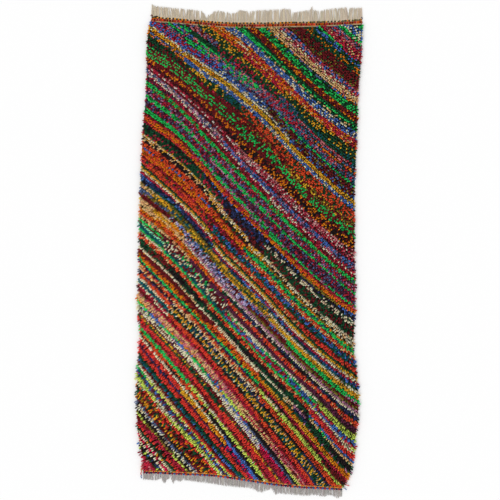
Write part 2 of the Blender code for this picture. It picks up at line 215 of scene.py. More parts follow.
# Each line: from row, to row, columns, then the wools there: a+b in runs, a&b knot
# by knot, a/b in turn, and a~b with dots of b. A number after * is how often a wool
# comes up.
# Later lines go over earlier ones.
stripeChart = """
-90 20 0-500 maroon&bottleGreen
20 60 0-500 bottleGreen&maroon
60 120 0-500 slateBlue&crimson&dustyRose&teal
120 168 0-500 maroon
168 215 0-500 plum*2&crimson*2&slateBlue&mauve
215 262 0-500 maroon&bottleGreen
-200 -70 0-500 brightGreen
-70 -58 0-500 royalBlue&cream
-59 -53.5 0-500 brightGreen*7&cream
-54 -46 0-500 dustyRose&crimson&slateBlue
-46 -38.5 0-500 crimson*4&tan&dustyRose
-38.5 -33.5 0-500 brightGreen*7&cream
-38 -35 345-500 crimson
-34 -31 0-500 royalBlue&bottleGreen
-31 -21 0-500 bottleGreen~orange
-21 -18 0-500 bottleGreen&maroon
-18 -9 0-500 maroon*9&olive&bottleGreen
-9 -6 0-500 olive&maroon
-6 -3 0-500 crimson&dustyRose&royalBlue
-3 0 0-500 royalBlue&dustyRose
0 2 0-500 crimson&cream
2 9 0-500 tan*6&cream&dustyRose
9 14 0-500 royalBlue&orange&bottleGreen
9 14 300-330 bottleGreen&slateBlue
14 20 0-500 brightGreen*2&bottleGreen
20 28 0-500 maroon~orange
28 31 0-500 bottleGreen
31 36 0-500 brightGreen*2&bottleGreen
31 36 243-280 brightGreen
35 38 265-350 tan&bottleGreen
37 46 0-500 royalBlue*4&cream*2&slateBlue
44 50 0-245 orange*3&vermilion&tan
46 50 245-500 vermilion&orange&crimson*2
47 50 240-250 cream
50 56 0-245 orange*2&vermilion*2&crimson
50 56 245-500 crimson*2&orange*2&vermilion&tan
50 54 335-500 tan&crimson
56 60 0-245 bottleGreen~ochre
56 60 245-500 crimson*3&vermilion&orange
57 64 285-500 bottleGreen~ochre
60 66 0-285 bottleGreen~ochre
64 68 295-500 teal&bottleGreen
65 72 0-220 dustyRose&slateBlue&maroon
66 75 220-280 bottleGreen~crimson
64 72 280-300 slateBlue&teal&crimson
68 70 298-350 mauve&crimson
70 73 298-350 dustyRose*2&crimson
68 73 350-500 teal
72 76 0-190 brightGreen*3&teal
72 76 190-220 bottleGreen
76 79 190-260 brightGreen*3&dustyRose
72 76 280-320 teal&slateBlue&crimson
74 78 315-500 orange*2&vermilion&bottleGreen
76 84 260-315 slateBlue&crimson&dustyRose
77 81 0-200 dustyRose&royalBlue
79 84 315-500 slateBlue&dustyRose&crimson
80 88 200-262 dustyRose&brightGreen&slateBlue
82 90 205-235 royalBlue&dustyRose&brightGreen
82 86 185-205 dustyRose&royalBlue
81 84 0-185 brightGreen
84 87 185-205 brightGreen
87 91 205-222 brightGreen
84 90 262-280 slateBlue&crimson
84 86 280-500 slateBlue&crimson&teal
86 89 280-500 brightGreen*4&teal
87 98 0-220 royalBlue*3&crimson*2
88 92 220-268 plum&slateBlue
92 97 220-268 cream&royalBlue*2
89 97 268-500 maroon*2&slateBlue&olive
95 98 268-500 royalBlue&maroon
96.5 99 0-290 cream*3&royalBlue
98.5 100 0-500 ochre&cream*2
99.5 103.5 0-500 ochre*5&orange*2&cream
100 103 215-500 ochre
103 105 0-500 cream*3&ochre
105 109 200-500 royalBlue*3&cream*2
103.5 107 0-185 slateBlue*2&orange
105 110 185-200 royalBlue
107 111 0-185 orange*2&dustyRose&bottleGreen
110 117 0-185 bottleGreen*2&maroon
109 118 185-242 bottleGreen~ochre
109 118 225-242 teal&bottleGreen
109 124 242-500 vermilion*5&bottleGreen*3&rust
116 119 0-200 maroon&bottleGreen
118 125 200-242 maroon&bottleGreen&crimson
119 144 0-290 maroon
119 121.7 0-200 brightGreen*5&maroon*2
124.3 127 0-240 brightGreen*5&maroon*2
129.7 132.4 0-240 brightGreen*5&maroon*2
135 137.7 0-240 brightGreen*5&maroon*2
140.4 143 0-240 brightGreen*5&maroon*2
123 127 240-290 olive&maroon&vermilion
127 143 240-290 brightGreen*4&maroon*5
124 133 290-500 olive&ochre&maroon
132 136 290-500 maroon&brightGreen
136 145 290-500 brightGreen&maroon
142.5 150 0-240 maroon~orange
144 157 235-500 orange*5&black*4&maroon*2
149 154 0-235 maroon&black
154 157 0-235 crimson&maroon
156.5 161 0-235 crimson*2&palePink*2&dustyRose
156 163.5 235-500 crimson*3&dustyRose*3&palePink*2
160.5 163 0-235 maroon
163.5 166 225-500 maroon&crimson
162 168 0-225 slateBlue&mauve&palePink
166 172 225-500 royalBlue*2&mauve&slateBlue
168 172 0-200 palePink*2&cream&crimson
170 175 200-270 palePink&cream&crimson
173 178 270-500 palePink&cream&crimson
172 176 0-200 crimson&plum
172 175 0-150 olive
175 180 200-270 crimson&maroon
178 182 270-500 crimson&maroon
177 181 0-200 brightGreen*3&olive
180 184 200-270 brightGreen*3&olive
181.5 186.5 270-500 brightGreen*4&olive
191 194.5 0-200 brightGreen*4&mauve
194 198 200-270 brightGreen*4&mauve
194.5 199.5 270-500 brightGreen*4&mauve
195 204 0-210 plum*2&crimson&slateBlue
199 208 200-500 plum*2&crimson&slateBlue
197 200 210-235 mauve
204 207.5 0-200 brightGreen
207 211 200-270 brightGreen*2&mauve
208 213 270-500 brightGreen*4&mauve
208 212 0-190 crimson&maroon
212 216 0-190 orange&vermilion
216 221 0-190 crimson&vermilion
211 214 190-250 crimson&vermilion
213 220 190-270 orange*2&vermilion&crimson
213 215 250-500 crimson
215 221 270-500 orange*2&vermilion
220 223 205-300 royalBlue&black
221 224 300-340 olive
221 225 340-500 royalBlue
223 228 205-500 black&navy
220 224 0-205 black&bottleGreen
225 231 265-500 cream*4&black*2&bottleGreen
224 232 0-225 bottleGreen~crimson
227 236 225-265 maroon&black&navy
231 240 265-500 bottleGreen&maroon
232 237 0-225 ochre&cream&tan
237 241 0-225 black*3&tan
236 241 210-250 ochre&cream&tan
241 244 210-250 black*3&ochre
236 240 250-265 maroon&black
240 247 250-265 ochre&cream
240 244 265-500 cream*2&tan
244 247 265-500 black&cream
241 256 0-210 vermilion*4&rust&maroon
246 256 210-245 vermilion*3&rust
246 250 0-215 vermilion~royalBlue
250 256 0-245 vermilion&orange
256 259 0-245 maroon&crimson
259 263 0-215 vermilion~bottleGreen
263 268 0-215 vermilion+crimson
268 271 0-215 bottleGreen
247 250 245-500 orange&olive
250.5 253.5 245-500 brightGreen*3&teal
254 256 245-500 teal&royalBlue
256 260 245-500 vermilion*2&tan
260 263 245-500 maroon
259 261 215-245 maroon
261 265 215-500 royalBlue*3&teal*2&maroon
265 268 215-500 teal&bottleGreen
268 274 215-300 vermilion*3&brightRed&tan
268 274 300-500 brightRed*3&vermilion&maroon
274 276 215-500 bottleGreen
271 274 0-215 ochre
274 277 0-215 cream
276 279 215-500 ochre
279 282 215-500 cream
277 280 0-215 crimson
282 284 215-500 crimson
280 283 0-215 royalBlue+navy
284 286 215-500 royalBlue+navy
283 287 0-215 black+bottleGreen+teal
286 290 215-500 black+bottleGreen+teal
287 292 0-270 ochre+olive+teal
286 292 0-158 tan*2&ochre&olive
290 293 270-500 cream
293 297 270-500 ochre
292 297 0-175 slateBlue+olive
292 297 175-270 olive*2+ochre+bottleGreen
297 300 0-287 mauve+grey
299 302 0-170 maroon
299 304 170-240 lavender*2&royalBlue&maroon&teal
300 305 230-290 royalBlue+maroon
297 304 287-500 brightGreen*4+mauve
304 306 230-500 maroon
306 309 230-500 olive
303 308 170-250 lavender*3&slateBlue&maroon&palePink
302 314 0-185 tan*2+ochre+orange
308 311 185-500 mauve
311 315 185-500 cream+palePink
314 320 225-500 navy+bottleGreen+black
313 316 165-225 teal+black
315 320 0-225 vermilion+orange
319 325 225-500 vermilion*4&brightRed*2&tan
320 324 0-190 cream+tan
322 325 0-190 maroon+tan
320 328 190-230 plum
325 330 230-500 plum
324 330 0-165 brightGreen+maroon
325 331 165-230 brightGreen&cream&maroon&plum
330 333 230-320 cream
333 336 230-320 brightGreen*2+cream
331 335.5 320-500 lime
330 334 0-165 mint
331 337 165-230 maroon*2&cream*2&teal
334 338 0-165 teal
337 341 165-230 teal
336 340 225-320 crimson+royalBlue
335.5 340.5 320-500 crimson+royalBlue
338 341 0-165 brightGreen
340 344 165-310 brightGreen
340.5 344.5 310-500 lime*2+cream
344.5 346.5 335-500 plum&cream
341 344 0-165 cream+tan
343 346 165-310 cream+tan
344 350 0-310 vermilion*4&tan&maroon
346 352 310-500 brightRed
350 356 0-170 maroon+bottleGreen
350 357 170-310 bottleGreen+black
352 354 310-500 royalBlue
354 357 310-500 tan+brightGreen
356 362 0-305 cream*3+tan
358 362 295-307 mauve+navy
357 361 307-500 black+bottleGreen
361 364 0-215 maroon
362 365 215-260 vermilion
361 366 260-500 bottleGreen
361 366 305-500 bottleGreen~mauve
364 370 0-260 orange*2&rust&maroon
366 371 260-500 ochre+orange
370 373 0-260 brightGreen
373 376 0-260 bottleGreen+navy
371 374 260-500 crimson
374 377 260-500 maroon+black
376 381 0-260 vermilion*3&tan&maroon
377 382 260-500 lime
375 378 265-285 cream+tan
380 384 0-260 cream+black+tan
382 387 260-500 vermilion
384 387 0-175 navy+plum
383 387 175-260 cream/black/tan/slateBlue
386 390 0-500 black+navy
388 394 0-172 vermilion
390 396 172-500 ochre*3&bottleGreen*2&tan&teal
393 396 0-170 cream
396 400 0-170 teal
396 402 170-500 bottleGreen+black
396 398 170-285 cream/black/teal
397 402 285-500 navy+black
400 405 0-170 cream+crimson
401 406 170-500 vermilion+brightRed
405 411 0-500 maroon+crimson
411 420 0-500 dustyRose+tan
418 421 0-195 orange+dustyRose
414 417 245-500 dustyRose*2+maroon+crimson
421 428 0-215 brightGreen*2+royalBlue
421 428 215-235 ochre+royalBlue
420 427 225-240 lime
418 422.5 240-300 lime
420 424 250-500 black
424 430 225-250 royalBlue
423 427 250-500 navy+slateBlue
428 434 0-225 cream*2+palePink+maroon
428 434 225-265 lavender+cream
427 434 262-500 magentaCrimson+crimson
434 438 0-500 plum+maroon
437 440 0-500 ochre+bottleGreen
440 444 0-500 bottleGreen
444 450 0-225 brightRed
441 448 225-262 brightRed
441 448 262-500 brightRed+crimson
449 454 0-500 maroon+crimson
454 459 0-190 brightGreen
453 459 190-500 lime*3+cream
453 455 190-230 dustyRose
459 463 0-207 vermilion
460 465 205-500 black
463 465 0-207 black+vermilion
465 469 0-225 cream
465 470 225-500 royalBlue
468 472 0-182 brightRed
468 472 182-227 ochre+orange
470 472 227-500 magentaCrimson
472 476 0-500 plum+navy
476 481 0-500 brightRed
480 484 0-500 bottleGreen
484 486 0-500 teal+royalBlue
486 488 0-500 maroon
488 490 0-500 brightRed
490 492 0-500 cream+tan
491 495.5 0-500 lime*5&cream
491 495 0-147 brightGreen
495 500 0-500 plum*3&royalBlue*2&teal&crimson
500 504.5 0-500 lime*4+cream
504 508 0-500 brightRed*3+cream
508 512 0-500 maroon&bottleGreen&orange
511 514 0-500 maroon*2&brightRed&bottleGreen
514 518 0-500 ochre&orange&maroon&bottleGreen
518 520 0-500 maroon+black
520 523 0-500 slateBlue*2&cream&grey
523 525 0-500 cream*2&grey&black
525 528 0-500 black
528 532 0-500 lime+olive
532 537 0-500 crimson*2+maroon
537 539 0-500 brightRed
539 541 0-500 bottleGreen
541 545 0-500 cream+ochre
545 548 0-500 magentaCrimson
548 550 0-500 cream
550 553 0-500 royalBlue+navy+black
553 556 0-500 lime+black+bottleGreen
556 700 0-500 crimson+dustyRose
"""

# Knots in the pile and how their two yarn ends stand
pile = {
    "columns": 84,
    "rowStep": 2.68,  # chart rows from one diagonal row of knots to the next
    "rows": (-140, 620),
    "bands": 5,
    "seed": 21,
    "endGaps": (3.0, -2.0),  # from the last knots to the foot and the head end
    "rootHeight": 2.6,
    "height": 12.0,
    "radii": (2.4, 3.1, 3.35, 2.75),  # root, two places between, and near the tip
    "tipLength": 1.3,
    "along": (0.0, 0.36, 0.7, 0.95),  # where those are
    "endSpread": (3.9, 4.4),  # half the space between a knot's two ends, upright and leaning
    "plump": (1.1, 1.04),
    "shortLean": 9.0,
    "longLean": 17.0,
    "leanAngle": -143,  # from +X: to the left and the foot
    "leanChance": 10,
    "drift": 1.3,
    "edgeDepth": 88,  # how far in the pile turns to face the right edge
    "edgeTurn": 106,
    "edgeInset": 5.0,
    "runs": (6, 18),  # yarn ends of one wool in a mixed stripe
    "strays": 0.2,  # share of ends that leave their run
    "slips": 0.05,  # share of ends that stray from their row
    "seen": 0.8,  # how far a lean moves the stripe that is seen
    "dots": 0.34,
    "dyeChance": 0.14,
    # sunk knots are painted darker as shade among the others, and the rest a little lighter
    "shaded": 0.14,  # share of knots sunk among the others
    "sunkShade": 0.55,
    "raisedLight": 1.03,
    "footTones": (0.15, -0.08),  # long wool is paler at the left of the foot half
    "gain": 1.88,
    "courseGain": 1.25,
    "richness": 1.04,
}

# the ground's top side, seen only between the knots, is painted dark by its shade value, as shade under the pile
ground = {"columns": 68, "rows": 102, "top": 3.1, "under": 0.5, "dip": 1.5, "shade": 0.12}

headWeb = {"yarns": 2, "radius": 1.35, "wave": 0.35, "waves": 84, "seed": 5}

selvedge = {"radius": 2.3, "inset": 1.5, "rings": 330, "seed": 6}

# Twined courses: outward is the middle of the course past the pile's end. Each
# wrap has its place in the pitch, its half length, half thickness and top, then
# its wools. A border is a cord along the course.
courses = {
    "headInnerCourse": {
        "node": "head_inner_course",
        "end": "head",
        "outward": 11.3,
        "width": 12.0,
        "height": 6.2,
        "pitch": 11.8,
        "slant": 1.2,
        "seed": 31,
        "core": "maroon",
        "wraps": (
            (0.0, 4.6, 1.7, 6.2, "maroon*3+crimson*2+rust+vermilion"),
            (0.5, 1.3, 1.0, 5.6, "orange*2+tan+ochre"),
        ),
        "borders": ((-5.4, "orange*2+tan+ochre"), (5.4, "orange*2+tan+vermilion")),
    },
    "headOuterCourse": {
        "node": "head_outer_course",
        "end": "head",
        "outward": 22.1,
        "width": 9.0,
        "height": 6.0,
        "pitch": 16.3,
        "slant": 2.2,
        "seed": 32,
        "core": "olive",
        "wraps": (
            (0.0, 3.7, 1.6, 6.0, "inkGreen*3+black"),
            (0.5, 4.3, 1.6, 5.8, "ochre*3+cream*2+olive+tan"),
        ),
        "borders": (),
    },
    "footInnerCourse": {
        "node": "foot_inner_course",
        "end": "foot",
        "outward": 4.3,
        "width": 7.8,
        "height": 5.6,
        "pitch": 13.0,
        "slant": 2.4,
        "seed": 33,
        "core": "ochre",
        "wraps": (
            (0.0, 3.3, 1.5, 5.6, "ochre*3+tan+olive"),
            (0.5, 3.2, 1.5, 5.4, "ochre*2+maroon+tan"),
        ),
        "borders": (),
    },
    "footOuterCourse": {
        "node": "foot_outer_course",
        "end": "foot",
        "outward": 13.1,
        "width": 9.2,
        "height": 6.2,
        "pitch": 21.4,
        "slant": 2.8,
        "seed": 34,
        "core": "plum",
        "wraps": (
            (0.0, 5.2, 1.7, 6.2, "crimson*3+vermilion"),
            (0.5, 5.2, 1.7, 6.1, "royalBlue*2+navy"),
        ),
        "borders": (),
    },
}
courseSides = 6

# Fringes: how far strands reach past the last course, and where they part
fringes = {
    "headFringe": {
        "node": "head_fringe",
        "end": "head",
        "outward": 26.9,
        "strands": 520,
        "clump": 4,
        "radius": 1.35,
        "wool": "beige",
        "seed": 41,
        "reach": (
            (-445, 52),
            (-425, 46),
            (-306, 44),
            (-225, 42),
            (-200, 34),
            (-183, 22),
            (-160, 44),
            (-140, 49),
            (-80, 42),
            (-60, 42),
            (-35, 56),
            (5, 49),
            (55, 56),
            (95, 54),
            (150, 58),
            (200, 58),
            (212, 42),
            (290, 50),
            (299, 66),
            (308, 50),
            (326, 47),
            (400, 54),
            (463, 57),
            (485, 52),
            (535, 50),
        ),
        "partings": (
            (-315, 12),
            (-286, 12),
            (-221, 5),
            (-190, 16),
            (-100, 6),
            (-77, 8),
            (8, 8),
            (148, 4),
            (206, 12),
            (333, 9),
            (468, 14),
        ),
    },
    "footFringe": {
        "node": "foot_fringe",
        "end": "foot",
        "outward": 17.9,
        "strands": 480,
        "clump": 4,
        "radius": 1.3,
        "wool": "paleGrey",
        "seed": 42,
        "reach": (
            (-485, 26),
            (-415, 30),
            (-403, 21),
            (-387, 46),
            (-372, 24),
            (-359, 20),
            (-345, 41),
            (-333, 24),
            (-313, 32),
            (-296, 22),
            (-220, 30),
            (-104, 36),
            (12, 28),
            (67, 43),
            (83, 28),
            (109, 20),
            (127, 42),
            (141, 34),
            (287, 32),
            (299, 27),
            (359, 34),
            (373, 25),
            (396, 28),
            (419, 38),
            (445, 22),
        ),
        "partings": (
            (-403, 6),
            (-359, 8),
            (-333, 5),
            (-296, 5),
            (-164, 3),
            (83, 4),
            (109, 6),
            (299, 4),
            (373, 5),
        ),
    },
}

# Loose yarn ends and overcast corners: chart columns and rows, then wool
tails = {
    "radius": 1.9,
    "height": 5.0,
    "runs": (
        (((150.6, 15.6), (151.4, 14.6), (152.4, 15.2), (152.0, 16.2)), "maroon"),
        (((153.6, 16.4), (155.8, 15.9), (158.0, 16.2)), "inkGreen"),
        (((151.6, 18.6), (154.0, 18.0), (156.2, 18.0)), "orange"),
        (((151.2, 20.0), (150.6, 22.0), (151.2, 24.2)), "crimson"),
        (((361.6, 16.6), (362.4, 18.0), (361.8, 19.6)), "navy"),
        (((361.8, 21.0), (362.4, 22.2), (361.6, 23.4)), "crimson"),
        (((141.4, 464.0), (142.0, 467.0), (141.6, 470.4)), "cream"),
        (((143.6, 464.6), (143.8, 467.4), (143.2, 470.0)), "palePink"),
        (((141.6, 468.0), (140.8, 470.0), (141.4, 472.0)), "ochre"),
        (((141.4, 472.0), (140.6, 473.8), (141.2, 475.4)), "brightRed"),
        (((141.2, 475.2), (140.8, 476.8), (141.8, 478.6)), "royalBlue"),
        (((342.4, 484.6), (345.6, 485.0), (349.4, 486.2)), "brightRed"),
        (((342.2, 487.6), (344.6, 488.4), (346.6, 490.2)), "royalBlue"),
    ),
}

studio = {
    "lens": 100,
    "sensor": 36,
    "distance": 6.43,
    "aim": (0.0116, 0.0139, 0.015),
    "sky": 0.79,
    "sun": 0.96,
    "sunSize": 50,
    "sunTurn": (28, -24, 0),
    "floor": 0.96,
    "floorSize": 120,
    "floorDrop": 0.0006,
}


def smoothCurve(keys, values, where):
    # a smooth curve through stated values, one curve or one for each place
    keys, values = np.asarray(keys, float), np.asarray(values, float)
    slopes = np.empty_like(values)
    rise = (keys[2:] - keys[:-2]).reshape(-1, *[1] * (values.ndim - 1))
    slopes[1:-1] = (values[2:] - values[:-2]) / rise
    slopes[0] = (values[1] - values[0]) / (keys[1] - keys[0])
    slopes[-1] = (values[-1] - values[-2]) / (keys[-1] - keys[-2])
    inside = np.clip(where, keys[0], keys[-1])
    i = np.clip(np.searchsorted(keys, inside) - 1, 0, len(keys) - 2)
    span = keys[i + 1] - keys[i]
    t = (inside - keys[i]) / span
    pick = (lambda table, k: table[k]) if values.ndim == 1 else pickEach
    return (
        pick(values, i) * (1 + 2 * t) * (1 - t) ** 2
        + pick(slopes, i) * span * t * (1 - t) ** 2
        + pick(values, i + 1) * t * t * (3 - 2 * t)
        + pick(slopes, i + 1) * span * t * t * (t - 1)
    )


def pickEach(table, k):
    return np.take_along_axis(table, k[None, :], 0)[0]


def sideX(along, across):
    shares, left, right = zip(*rugPlan["sides"])
    low, high = smoothCurve(shares, left, along), smoothCurve(shares, right, along)
    return low + (high - low) * across


def endY(across, end):
    shares, foot, head = zip(*rugPlan["ends"])
    return smoothCurve(shares, head if end == "head" else foot, across)


def fieldPoint(across, along):
    foot, head = endY(across, "foot"), endY(across, "head")
    return sideX(along, across), foot + (head - foot) * along


def endPoint(across, end, outward):
    # a place past one end of the pile
    sign = 1 if end == "head" else -1
    x = sideX(np.full_like(across, 1.0 if end == "head" else 0.0), across)
    return x, endY(across, end) + sign * outward


def readMix(words):
    # the wools of a mix, each as often as it says
    names = []
    for word in words.split("+"):
        name, _, times = word.partition("*")
        names += [name] * int(times or 1)
    return names


def linear(colour):
    share = np.asarray(colour, float) / 255
    return np.where(share <= 0.04045, share / 12.92, ((share + 0.055) / 1.055) ** 2.4)


dyeNames = list(dyes)
dyeTable = np.array([linear(dyes[name]) for name in dyeNames])


def drawDyes(words, chance, count):
    names = readMix(words)
    picks = np.array([dyeNames.index(name) for name in names])
    return picks[chance.integers(0, len(names), count)]


def mixedWools(words, run, knot, turn, dot):
    # which wool of a mix each knot has; run, knot and dot are chances from 0 to 1
    if "/" in words:
        names = readMix(words.replace("/", "+"))
        return np.array([dyeNames.index(name) for name in names])[turn % len(names)]
    if "&" in words:
        names = np.array([dyeNames.index(name) for name in readMix(words.replace("&", "+"))])
        return names[(knot * len(names)).astype(int)]
    base, _, dots = words.partition("~")
    names = np.array([dyeNames.index(name) for name in readMix(base)])
    picks = names[(run * len(names)).astype(int)]
    if dots:
        spots = np.array([dyeNames.index(name) for name in readMix(dots)])
        picks = np.where(dot < pile["dots"], spots[(knot * len(spots)).astype(int)], picks)
    return picks


def fallAt(row, x):
    # how many chart rows a stripe falls from the middle column to X
    column = chartMiddleColumn + x / chartStep
    leftRows, *leftFalls = zip(*stripeFall["left"])
    rightRows, *rightFalls = zip(*stripeFall["right"])
    falls = [smoothCurve(leftRows, fall, row) for fall in leftFalls]
    falls += [np.zeros_like(falls[0])]
    falls += [smoothCurve(rightRows, fall, row) for fall in rightFalls]
    falls = np.array(falls)
    keys = stripeFall["columns"]
    inside = np.clip(column, keys[0], keys[-1])
    slope = np.where(column < inside, falls[1] - falls[0], falls[-1] - falls[-2]) / 25
    return smoothCurve(keys, falls, inside) + slope * (column - inside)


def chartRow(x, y):
    # the chart's row at a place: where its stripe crosses the middle column
    down = chartMiddleRow - y / chartStep
    row = down - x / chartStep
    for _ in range(stripeSteps):
        row = down - fallAt(row, x)
    return row


def chartedDyes(row, x, diagonal, column, chance):
    # which wool the chart gives for each knot, in runs along its diagonal row
    row = row + np.where(chance.random(len(x)) < pile["slips"], chance.normal(0, 1.6, len(x)), 0)
    chartColumn = chartMiddleColumn + x / chartStep
    diagonal = diagonal - diagonal.min()
    lengths = chance.integers(*pile["runs"], diagonal.max() + 1)
    starts = chance.integers(0, 8, diagonal.max() + 1)
    block = (column + starts[diagonal]) // lengths[diagonal]
    run = chance.random((diagonal.max() + 1, block.max() + 1))[diagonal, block]
    knot, dot = chance.random(len(x)), chance.random(len(x))
    run = np.where(chance.random(len(x)) < pile["strays"], knot, run)
    turn = column + starts[diagonal]
    found = np.full(len(x), dyeNames.index("crimson"))
    for line in stripeChart.split("\n"):
        if not line.strip():
            continue
        first, last, columns, words = line.split()
        low, high = columns.split("-")
        here = (row >= float(first)) & (row < float(last))
        here &= (chartColumn >= float(low)) & (chartColumn < float(high))
        found[here] = mixedWools(words, run[here], knot[here], turn[here], dot[here])
    return found


def shadeDyes(picks, chance, spread, gain):
    # wool takes dye unevenly, so each yarn is a little lighter or darker
    value = gain * np.exp(chance.normal(0, spread, len(picks)))
    tint = 1 + chance.normal(0, spread * 0.3, (len(picks), 3))
    colours = dyeTable[picks]
    grey = colours @ (0.3, 0.6, 0.1)
    colours = grey[:, None] + (colours - grey[:, None]) * pile["richness"]
    return np.clip(colours * value[:, None] * tint, 0.004, 0.92)


def setAttribute(mesh, name, kind, values):
    attribute = mesh.attributes.new(name, kind, "POINT")
    field = {"FLOAT_COLOR": "color", "FLOAT_VECTOR": "vector"}[kind]
    attribute.data.foreach_set(field, np.ascontiguousarray(values, np.float32).ravel())


def setMap(mesh, name, places):
    layer = mesh.uv_layers.new(name=name)
    layer.uv.foreach_set("vector", np.ascontiguousarray(places, np.float32).ravel())


def makeMesh(name, points, faceSets):
    # faceSets holds arrays of faces, each with one number of corners
    mesh = bpy.data.meshes.new(name)
    mesh.vertices.add(len(points))
    mesh.vertices.foreach_set("co", np.asarray(points, np.float32).ravel())
    corners = np.concatenate([faces.ravel() for faces in faceSets])
    sizes = np.concatenate([np.full(len(f), f.shape[1]) for f in faceSets])
    starts = np.concatenate([[0], np.cumsum(sizes)[:-1]])
    mesh.loops.add(len(corners))
    mesh.loops.foreach_set("vertex_index", corners.astype(np.int32))
    mesh.polygons.add(len(sizes))
    mesh.polygons.foreach_set("loop_start", starts.astype(np.int32))
    mesh.update(calc_edges=True)
    mesh.shade_smooth()
    return mesh


def makeYarns(paths, sideRadii, upRadii, sides, spin, tip, closedRoot, block):
    # yarns as tubes along paths of (yarn, ring, xyz), with pointed tips
    count, rings = paths.shape[:2]
    forward = np.gradient(paths, axis=1)
    forward /= np.linalg.norm(forward, axis=2, keepdims=True)
    sideways = np.cross(forward, (0, 0, 1.0))
    sideways /= np.maximum(np.linalg.norm(sideways, axis=2, keepdims=True), 1e-9)
    upward = np.cross(sideways, forward)
    angle = spin[:, :, None] + 2 * np.pi * np.arange(sides) / sides
    around = np.cos(angle)[..., None] * (sideways * sideRadii[..., None])[:, :, None]
    around = around + np.sin(angle)[..., None] * (upward * upRadii[..., None])[:, :, None]
    tube = (paths[:, :, None] + around).reshape(count, -1, 3)
    far = paths[:, -1] + forward[:, -1] * tip
    near = paths[:, 0] - forward[:, 0] * tip
    points = np.concatenate([tube, far[:, None], near[:, None]], 1)
    if not closedRoot:
        points = points[:, :-1]
    perYarn = points.shape[1]
    ringTable = np.arange(rings * sides).reshape(rings, sides)
    turned = np.roll(ringTable, -1, 1)
    quads = np.stack([ringTable[:-1], ringTable[1:], turned[1:], turned[:-1]], -1)
    quads = quads.reshape(-1, 4)
    tipFaces = np.stack([ringTable[-1], np.full(sides, rings * sides), turned[-1]], -1)
    rootFaces = np.stack([turned[0], np.full(sides, rings * sides + 1), ringTable[0]], -1)
    triangles = np.concatenate([tipFaces, rootFaces]) if closedRoot else tipFaces
    offsets = (np.arange(count) * perYarn)[:, None, None]
    faces = [(quads + offsets).reshape(-1, 4), (triangles + offsets).reshape(-1, 3)]

    # places round and along each yarn, for its grain and for its baked tile
    lengths = np.linalg.norm(np.diff(paths, axis=1), axis=2)
    runs = np.concatenate([np.zeros((count, 1)), np.cumsum(lengths, 1)], 1) / mm
    turn = np.arange(sides) / sides
    step = np.arange(rings - 1)
    quadTurn = np.stack([turn, turn, turn + 1 / sides, turn + 1 / sides], -1)
    quadTurn = np.tile(quadTurn, (rings - 1, 1, 1))
    quadStep = np.stack([step, step + 1, step + 1, step], -1)
    quadStep = np.repeat(quadStep[:, None], sides, 1)
    tipTurn = np.stack([turn, turn + 0.5 / sides, turn + 1 / sides], -1)
    ends = [(rings - 1, rings)] + ([(0, -1)] if closedRoot else [])
    triTurn = np.concatenate([tipTurn for _ in ends])
    triStep = np.concatenate([np.tile([a, b, a], (sides, 1)) for a, b in ends])
    padded = np.concatenate([runs, runs[:, -1:] + tip / mm, -np.full((count, 1), tip / mm)], 1)

    blocks = max(1, math.ceil((rings + 1) / block))
    tiles = math.ceil(math.sqrt(count * blocks))
    grain, baked = [], []
    for turns, steps in ((quadTurn.reshape(-1), quadStep.reshape(-1)), (triTurn.reshape(-1), triStep.reshape(-1))):
        yarn = np.arange(count)[:, None]
        along = padded[:, steps]
        grain.append(np.stack([np.broadcast_to(turns, along.shape) + yarn * 3, along], -1).reshape(-1, 2))
        corners = 4 if len(steps) == quadStep.size else 3
        first = np.clip(steps.reshape(-1, corners).min(1), 0, None)
        own = np.repeat(first // block, corners)
        tile = yarn * blocks + own
        inTile = (steps - own * block + 1) / (block + 1.5)
        u = (tile % tiles + 0.04 + 0.92 * turns) / tiles
        v = (tile // tiles + 0.04 + 0.92 * inTile) / tiles
        baked.append(np.stack([u, v], -1).reshape(-1, 2))
    return {
        "points": points.reshape(-1, 3),
        "faces": faces,
        "perYarn": perYarn,
        "rings": rings,
        "sides": sides,
        "grain": np.concatenate(grain),
        "baked": np.concatenate(baked),
    }


def spreadToPoints(made, ringValues):
    # values for each (yarn, ring) as values for each point
    count = ringValues.shape[0]
    tube = np.repeat(ringValues, made["sides"], 1).reshape(count, -1, ringValues.shape[2])
    spare = made["perYarn"] - tube.shape[1]
    ends = [ringValues[:, -1:], ringValues[:, :1]][:spare]
    return np.concatenate([tube, *ends], 1).reshape(-1, ringValues.shape[2])


def makePiece(name, made, ringDyeAndShade, ringShade, material, nodeNames):
    mesh = makeMesh(name, made["points"], made["faces"])
    colours = spreadToPoints(made, ringDyeAndShade)
    alpha = np.ones((len(colours), 1))
    setAttribute(mesh, "dyeAndShade", "FLOAT_COLOR", np.concatenate([colours, alpha], 1))
    shadeDepth = spreadToPoints(made, ringShade[..., None])
    setAttribute(mesh, "shadeDepth", "FLOAT_VECTOR", np.repeat(shadeDepth, 3, 1))
    setMap(mesh, "OFBake", made["baked"])
    setMap(mesh, "yarnRun", made["grain"])
    return addPiece(name, mesh, material, nodeNames)


def addPiece(name, mesh, material, nodeNames):
    mesh.materials.append(material)
    piece = bpy.data.objects.new(name, mesh)
    bpy.context.scene.collection.objects.link(piece)
    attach(piece, "root")
    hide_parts(*nodeNames)
    return piece


def addNode(tree, kind, settings=None, **inputs):
    node = tree.nodes.new(kind)
    for key, value in (settings or {}).items():
        setattr(node, key, value)
    for key, value in inputs.items():
        socket = node.inputs[int(key[1:]) if key[1:].isdigit() else key]
        if isinstance(value, bpy.types.NodeSocket):
            tree.links.new(value, socket)
        else:
            socket.default_value = value
    return node


def newGroup(name, inputs, outputs):
    tree = bpy.data.node_groups.new(name, "ShaderNodeTree")
    for label, kind, value in inputs:
        socket = tree.interface.new_socket(label, in_out="INPUT", socket_type=kind)
        if value is not None:
            socket.default_value = value
    for label, kind in outputs:
        tree.interface.new_socket(label, in_out="OUTPUT", socket_type=kind)
    return tree, tree.nodes.new("NodeGroupInput"), tree.nodes.new("NodeGroupOutput")


